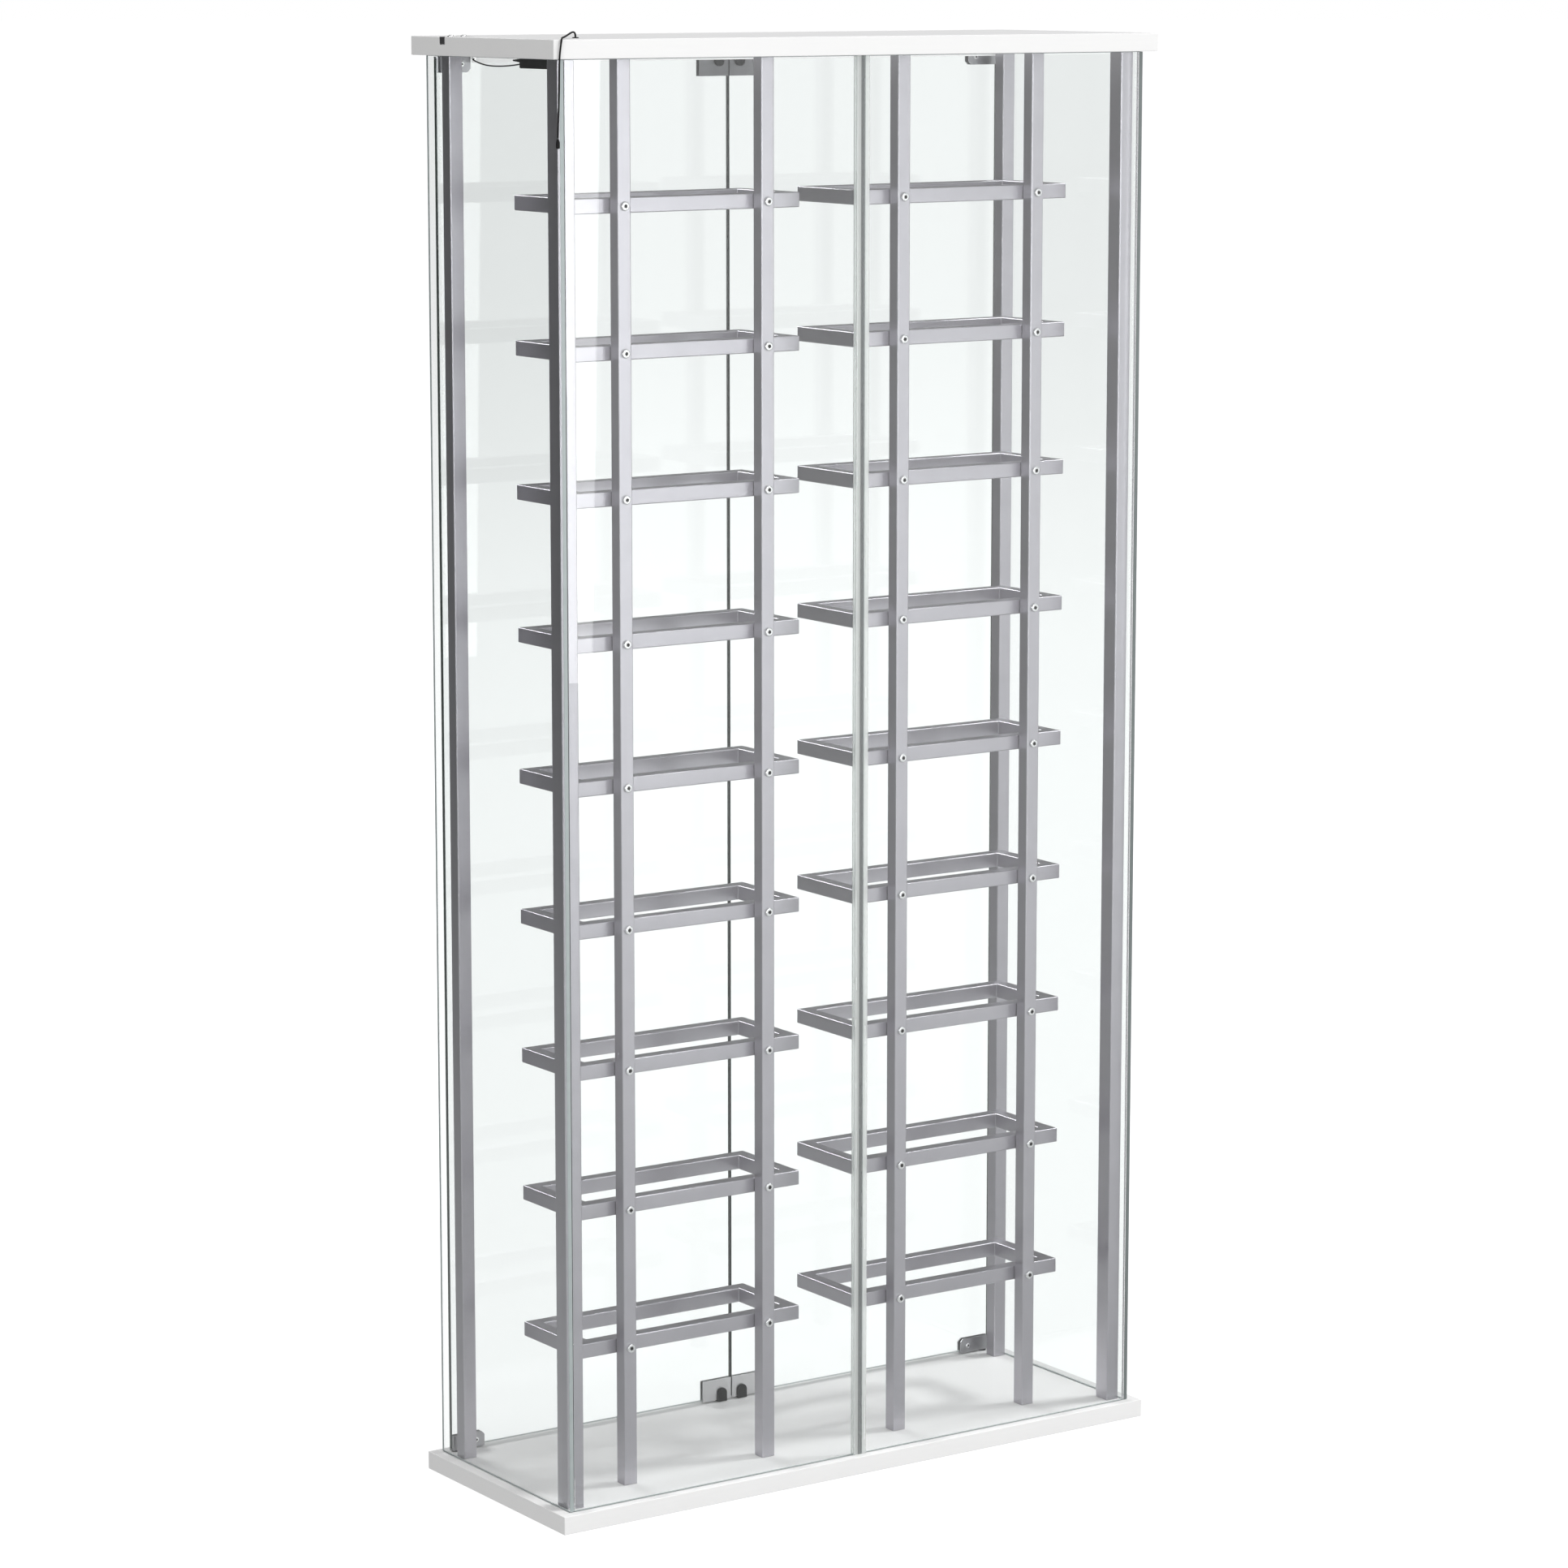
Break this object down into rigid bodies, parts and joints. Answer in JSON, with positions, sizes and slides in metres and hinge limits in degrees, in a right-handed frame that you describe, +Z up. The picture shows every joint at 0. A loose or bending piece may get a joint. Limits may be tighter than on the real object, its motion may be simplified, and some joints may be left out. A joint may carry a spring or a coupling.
{
  "type": "wall-mounted showcase",
  "caption": "Tall, shallow wall-mounted showcase: glass on all four sides between white boards, pivoting glass doors, and columns of square-tube ring carriers.",
  "frame": {"origin": "middle of the bottom board's underside", "axes": "+Z up; -Y is the front, where the doors are; +Y is towards the wall; +X is to the right of someone facing the doors"},
  "size_m": [0.625, 0.2344, 1.2689],
  "materials": {
    "board": "white melamine-faced board with matching edging",
    "tube": "square tube, satin silver",
    "pane": "clear float glass with ground edges, faint green",
    "joint_plastic": "clear, slightly milky extruded strip",
    "clamp_steel": "satin steel",
    "plate_steel": "satin steel sheet",
    "fitting_steel": "plain steel, dull",
    "black_plastic": "moulded, matt black",
    "light_white": "white coated aluminium profile",
    "diffuser": "opal cover",
    "lead_rubber": "black sheathed lead"
  },
  "bodies": {
    "cabinet": {"bottom_board": "board", "top_board": "board", "corner_post_left_front": "tube", "corner_post_left_rear": "tube", "bay_post_left_inner": "tube", "bay_post_left_outer": "tube", "corner_post_right_front": "tube", "corner_post_right_rear": "tube", "bay_post_right_inner": "tube", "bay_post_right_outer": "tube", "ring_left_1": "tube", "ring_left_2": "tube", "ring_left_3": "tube", "ring_left_4": "tube", "ring_left_5": "tube", "ring_left_6": "tube", "ring_left_7": "tube", "ring_left_8": "tube", "ring_left_9": "tube", "ring_right_1": "tube", "ring_right_2": "tube", "ring_right_3": "tube", "ring_right_4": "tube", "ring_right_5": "tube", "ring_right_6": "tube", "ring_right_7": "tube", "ring_right_8": "tube", "ring_right_9": "tube", "side_pane_left": "pane", "side_pane_right": "pane", "rear_pane_left": "pane", "rear_pane_right": "pane", "rear_joint_strip": "joint_plastic", "pivot_bush_left_bottom": "black_plastic", "door_catch_left_bottom": "black_plastic", "pivot_bush_left_top": "black_plastic", "door_catch_left_top": "black_plastic", "pivot_bush_right_bottom": "black_plastic", "door_catch_right_bottom": "black_plastic", "pivot_bush_right_top": "black_plastic", "door_catch_right_top": "black_plastic", "light_housing": "light_white", "light_diffuser": "diffuser", "driver_box": "black_plastic", "driver_stub": "black_plastic", "light_lead": "lead_rubber", "power_lead": "lead_rubber", "lead_grommet": "black_plastic", "lead_connector": "black_plastic", "side_fitting": "fitting_steel"},
    "door_left": {"door_glass_left": "pane", "pivot_clamp_left_bottom": "clamp_steel", "pivot_clamp_left_top": "clamp_steel", "strike_plate_left_bottom": "plate_steel", "strike_plate_left_top": "plate_steel"},
    "door_right": {"door_glass_right": "pane", "pivot_clamp_right_bottom": "clamp_steel", "pivot_clamp_right_top": "clamp_steel", "strike_plate_right_bottom": "plate_steel", "strike_plate_right_top": "plate_steel"}
  },
  "joints": [
    {"name": "door_right_hinge", "type": "hinge", "parent": "cabinet", "child": "door_right", "pos_m": [0.2895, -0.1025, 0.6315], "axis": [0, 0, 1], "range_deg": [0, 110]},
    {"name": "door_left_hinge", "type": "hinge", "parent": "cabinet", "child": "door_left", "pos_m": [-0.2895, -0.1025, 0.6315], "axis": [0, 0, -1], "range_deg": [0, 110]}
  ]
}
